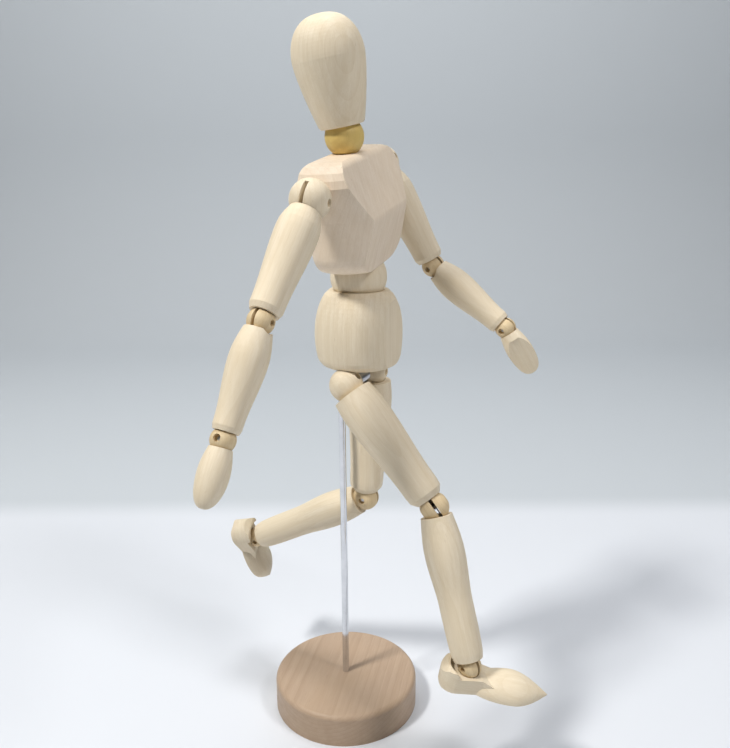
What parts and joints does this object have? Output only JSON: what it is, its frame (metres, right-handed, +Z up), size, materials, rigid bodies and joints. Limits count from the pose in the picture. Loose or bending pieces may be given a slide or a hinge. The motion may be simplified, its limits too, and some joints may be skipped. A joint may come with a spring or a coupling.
{
  "type": "jointed drawing mannequin",
  "caption": "Jointed wooden drawing figure on a steel rod and turned disc base, with slotted ball joints at shoulders, elbows, wrists, hips, knees and ankles.",
  "frame": {"origin": "centre of the base disc on the table, under the rod", "axes": "+Z up along the rod; the figure faces -Y, its right side is -X"},
  "size_m": [0.1514, 0.168, 0.318],
  "materials": {
    "wood_pale": "fine sanded, unvarnished",
    "wood_warm": "fine sanded, unvarnished",
    "wood_yellow": "fine sanded, unvarnished",
    "wood_tan": "smooth, satin",
    "rod_steel": "bright polished",
    "spring_steel": "plain wire"
  },
  "bodies": {
    "stand": {"base_disc": "wood_tan", "support_rod": "rod_steel"},
    "pelvis": {"pelvis_block": "wood_pale", "hip_spine_spring": "spring_steel"},
    "waist_ball": {"waist_ball": "wood_pale", "waist_pin": "spring_steel"},
    "chest_spring": {"chest_spring": "spring_steel"},
    "chest": {"chest_block": "wood_pale", "shoulder_neck_spring": "spring_steel"},
    "neck_ball": {"neck_ball": "wood_yellow"},
    "head_spring": {"head_spring": "spring_steel"},
    "head": {"head": "wood_pale"},
    "right_shoulder_ball": {"right_shoulder_ball": "wood_pale", "right_shoulder_pin": "spring_steel"},
    "right_upper_arm": {"right_upper_arm": "wood_pale", "right_upper_arm_spring": "spring_steel"},
    "right_elbow_ball": {"right_elbow_ball": "wood_warm", "right_elbow_pin": "spring_steel"},
    "right_forearm": {"right_forearm": "wood_pale", "right_forearm_spring": "spring_steel"},
    "right_wrist_ball": {"right_wrist_ball": "wood_warm", "right_wrist_pin": "spring_steel"},
    "right_hand": {"right_hand": "wood_pale", "right_hand_spring": "spring_steel"},
    "left_shoulder_ball": {"left_shoulder_ball": "wood_pale", "left_shoulder_pin": "spring_steel"},
    "left_upper_arm": {"left_upper_arm": "wood_pale", "left_upper_arm_spring": "spring_steel"},
    "left_elbow_ball": {"left_elbow_ball": "wood_warm", "left_elbow_pin": "spring_steel"},
    "left_forearm": {"left_forearm": "wood_pale", "left_forearm_spring": "spring_steel"},
    "left_wrist_ball": {"left_wrist_ball": "wood_warm", "left_wrist_pin": "spring_steel"},
    "left_hand": {"left_hand": "wood_pale", "left_hand_spring": "spring_steel"},
    "right_hip_ball": {"right_hip_ball": "wood_pale", "right_hip_pin": "spring_steel"},
    "right_thigh": {"right_thigh": "wood_pale", "right_thigh_spring": "spring_steel"},
    "right_knee_ball": {"right_knee_ball": "wood_warm", "right_knee_pin": "spring_steel"},
    "right_shin": {"right_shin": "wood_pale", "right_shin_spring": "spring_steel"},
    "right_ankle_ball": {"right_ankle_ball": "wood_warm", "right_ankle_pin": "spring_steel"},
    "right_foot": {"right_foot": "wood_pale", "right_foot_spring": "spring_steel"},
    "left_hip_ball": {"left_hip_ball": "wood_pale", "left_hip_pin": "spring_steel"},
    "left_thigh": {"left_thigh": "wood_pale", "left_thigh_spring": "spring_steel"},
    "left_knee_ball": {"left_knee_ball": "wood_warm", "left_knee_pin": "spring_steel"},
    "left_shin": {"left_shin": "wood_pale", "left_shin_spring": "spring_steel"},
    "left_ankle_ball": {"left_ankle_ball": "wood_warm", "left_ankle_pin": "spring_steel"},
    "left_foot": {"left_foot": "wood_pale", "left_foot_spring": "spring_steel"}
  },
  "joints": [
    {"name": "stand_turn", "type": "hinge", "parent": "stand", "child": "pelvis", "pos_m": [0, 0, 0.1698], "axis": [0, 0, 1], "continuous": true},
    {"name": "waist_turn", "type": "hinge", "parent": "pelvis", "child": "waist_ball", "pos_m": [0, -0.009, 0.215], "axis": [0, 0, 1], "range_deg": [-90, 90]},
    {"name": "waist_bend", "type": "hinge", "parent": "waist_ball", "child": "chest_spring", "pos_m": [0, -0.009, 0.215], "axis": [-0.0958, -0.9954, 0], "range_deg": [-38.3, 17.7]},
    {"name": "chest_turn", "type": "hinge", "parent": "chest_spring", "child": "chest", "pos_m": [0, -0.009, 0.215], "axis": [-0.178, 0.0171, 0.9839], "range_deg": [-90, 90]},
    {"name": "neck_turn", "type": "hinge", "parent": "chest", "child": "neck_ball", "pos_m": [-0.01041, -0.008, 0.27256], "axis": [-0.178, 0.0171, 0.9839], "range_deg": [-90, 90]},
    {"name": "head_nod", "type": "hinge", "parent": "neck_ball", "child": "head_spring", "pos_m": [-0.01041, -0.008, 0.27256], "axis": [0.984, 0.0033, 0.1779], "range_deg": [-21.7, 34.3]},
    {"name": "head_turn", "type": "hinge", "parent": "head_spring", "child": "head", "pos_m": [-0.01041, -0.008, 0.27256], "axis": [-0.1769, 0.1268, 0.976], "range_deg": [-90, 90]},
    {"name": "right_shoulder_swing", "type": "hinge", "parent": "chest", "child": "right_shoulder_ball", "pos_m": [-0.04197, -0.00841, 0.24927], "axis": [0.984, 0.0033, 0.1779], "range_deg": [-158.9, 81.1]},
    {"name": "right_shoulder_raise", "type": "hinge", "parent": "right_shoulder_ball", "child": "right_upper_arm", "pos_m": [-0.04197, -0.00841, 0.24927], "axis": [-0.0277, 0.9905, 0.135], "range_deg": [-47.2, 27.8]},
    {"name": "right_elbow_turn", "type": "hinge", "parent": "right_upper_arm", "child": "right_elbow_ball", "pos_m": [-0.07294, -0.00372, 0.20852], "axis": [0.6026, -0.0912, 0.7928], "range_deg": [-120, 120]},
    {"name": "right_elbow_bend", "type": "hinge", "parent": "right_elbow_ball", "child": "right_forearm", "pos_m": [-0.07294, -0.00372, 0.20852], "axis": [-0.0905, -0.9949, -0.0457], "range_deg": [-69.1, 6.9]},
    {"name": "right_wrist_turn", "type": "hinge", "parent": "right_forearm", "child": "right_wrist_ball", "pos_m": [-0.09484, 0, 0.17077], "axis": [0.4999, -0.085, 0.8619], "range_deg": [-120, 120]},
    {"name": "right_wrist_bend", "type": "hinge", "parent": "right_wrist_ball", "child": "right_hand", "pos_m": [-0.09484, 0, 0.17077], "axis": [-0.866, -0.0352, 0.4988], "range_deg": [-47, 32]},
    {"name": "left_shoulder_swing", "type": "hinge", "parent": "chest", "child": "left_shoulder_ball", "pos_m": [0.0273, -0.00818, 0.2618], "axis": [0.984, 0.0033, 0.1779], "range_deg": [-78.8, 115.2]},
    {"name": "left_shoulder_raise", "type": "hinge", "parent": "left_shoulder_ball", "child": "left_upper_arm", "pos_m": [0.0273, -0.00818, 0.2618], "axis": [-0.0756, -0.8974, 0.4347], "range_deg": [0, 75.5]},
    {"name": "left_elbow_turn", "type": "hinge", "parent": "left_upper_arm", "child": "left_elbow_ball", "pos_m": [0.03515, -0.03086, 0.21635], "axis": [-0.1525, 0.4412, 0.8843], "range_deg": [-120, 120]},
    {"name": "left_elbow_bend", "type": "hinge", "parent": "left_elbow_ball", "child": "left_forearm", "pos_m": [0.03515, -0.03086, 0.21635], "axis": [0.9356, -0.2237, 0.273], "range_deg": [-33.9, 42.1]},
    {"name": "left_wrist_turn", "type": "hinge", "parent": "left_forearm", "child": "left_wrist_ball", "pos_m": [0.03447, -0.06584, 0.18999], "axis": [0.0154, 0.7986, 0.6017], "range_deg": [-120, 120]},
    {"name": "left_wrist_bend", "type": "hinge", "parent": "left_wrist_ball", "child": "left_hand", "pos_m": [0.03447, -0.06584, 0.18999], "axis": [0.9575, -0.1852, 0.2213], "range_deg": [-64.9, 14.1]},
    {"name": "right_hip_swing", "type": "hinge", "parent": "pelvis", "child": "right_hip_ball", "pos_m": [-0.014, -0.009, 0.1698], "axis": [1, 0, 0], "range_deg": [-23, 26]},
    {"name": "right_hip_spread", "type": "hinge", "parent": "right_hip_ball", "child": "right_thigh", "pos_m": [-0.014, -0.009, 0.1698], "axis": [0, 0.7501, -0.6613], "range_deg": [-3.4, 18.6]},
    {"name": "right_knee_turn", "type": "hinge", "parent": "right_thigh", "child": "right_knee_ball", "pos_m": [-0.01778, -0.05112, 0.12203], "axis": [0.0593, 0.6601, 0.7488], "range_deg": [-90, 90]},
    {"name": "right_knee_bend", "type": "hinge", "parent": "right_knee_ball", "child": "right_shin", "pos_m": [-0.01778, -0.05112, 0.12203], "axis": [0.4885, -0.6733, 0.5549], "range_deg": [-4.1, 59.9]},
    {"name": "right_ankle_turn", "type": "hinge", "parent": "right_shin", "child": "right_ankle_ball", "pos_m": [-0.03083, -0.07224, 0.05904], "axis": [0.1928, 0.312, 0.9303], "range_deg": [-120, 120]},
    {"name": "right_ankle_bend", "type": "hinge", "parent": "right_ankle_ball", "child": "right_foot", "pos_m": [-0.03083, -0.07224, 0.05904], "axis": [0.9199, -0.3876, -0.0606], "range_deg": [-61.2, 2.8]},
    {"name": "left_hip_swing", "type": "hinge", "parent": "pelvis", "child": "left_hip_ball", "pos_m": [0.014, -0.009, 0.1698], "axis": [1, 0, 0], "range_deg": [-26, 37.2]},
    {"name": "left_hip_spread", "type": "hinge", "parent": "left_hip_ball", "child": "left_thigh", "pos_m": [0.014, -0.009, 0.1698], "axis": [0, -0.9988, -0.0489], "range_deg": [0, 23]},
    {"name": "left_knee_turn", "type": "hinge", "parent": "left_thigh", "child": "left_knee_ball", "pos_m": [0.01289, -0.00588, 0.10609], "axis": [0.0175, -0.0488, 0.9987], "range_deg": [-90, 17]},
    {"name": "left_knee_bend", "type": "hinge", "parent": "left_knee_ball", "child": "left_shin", "pos_m": [0.01289, -0.00588, 0.10609], "axis": [0.998, 0.0618, -0.0144], "range_deg": [-59.5, 4.5]},
    {"name": "left_ankle_turn", "type": "hinge", "parent": "left_shin", "child": "left_ankle_ball", "pos_m": [0.00873, 0.05394, 0.07468], "axis": [0.0615, -0.8837, 0.4639], "range_deg": [-120, 120]},
    {"name": "left_ankle_bend", "type": "hinge", "parent": "left_ankle_ball", "child": "left_foot", "pos_m": [0.00873, 0.05394, 0.07468], "axis": [0.9667, 0.1684, 0.1928], "range_deg": [-44.7, 19.3]}
  ]
}
